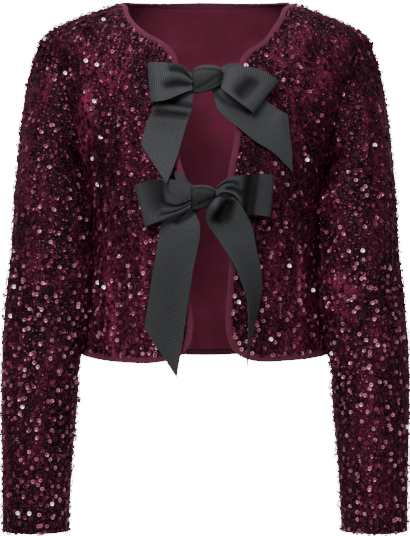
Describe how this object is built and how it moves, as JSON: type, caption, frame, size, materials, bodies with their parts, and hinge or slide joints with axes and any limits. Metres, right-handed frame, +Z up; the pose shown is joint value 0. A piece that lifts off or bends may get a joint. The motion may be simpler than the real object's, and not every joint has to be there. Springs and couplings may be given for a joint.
{
  "type": "cropped open-front jacket",
  "caption": "Cropped long-sleeved jacket of burgundy sequinned velvet, open down the front and held by black ribbon bows, hanging filled out as worn.",
  "frame": {"origin": "midway between the two neck points, where the shoulder seams meet the neckline", "axes": "+Z up, -Y to the wearer's front, +X to the wearer's left"},
  "size_m": [0.5027, 0.2516, 0.6589],
  "materials": {
    "sequinned_velvet": "velvet with small sequins",
    "jersey_binding": "matte jersey",
    "jersey_lining": "matte jersey",
    "grosgrain_ribbon": "ribbed, slight sheen"
  },
  "bodies": {
    "root": {"front_left": "sequinned_velvet", "front_right": "sequinned_velvet", "back_panel": "sequinned_velvet", "sleeve_left": "sequinned_velvet", "sleeve_right": "sequinned_velvet", "back_lining": "jersey_lining", "binding_front_left": "jersey_binding", "binding_front_right": "jersey_binding", "binding_back_neck": "jersey_binding", "binding_back_hem": "jersey_binding", "upper_bow_loop_left": "grosgrain_ribbon", "upper_bow_loop_right": "grosgrain_ribbon", "lower_bow_loop_left": "grosgrain_ribbon", "lower_bow_loop_right": "grosgrain_ribbon", "upper_bow_tail_left": "grosgrain_ribbon", "upper_bow_tail_right": "grosgrain_ribbon", "lower_bow_tail_left": "grosgrain_ribbon", "lower_bow_tail_right": "grosgrain_ribbon", "upper_bow_tie_left": "grosgrain_ribbon", "upper_bow_tie_right": "grosgrain_ribbon", "lower_bow_tie_left": "grosgrain_ribbon", "lower_bow_tie_right": "grosgrain_ribbon", "upper_bow_knot": "grosgrain_ribbon", "lower_bow_knot": "grosgrain_ribbon"}
  },
  "joints": []
}
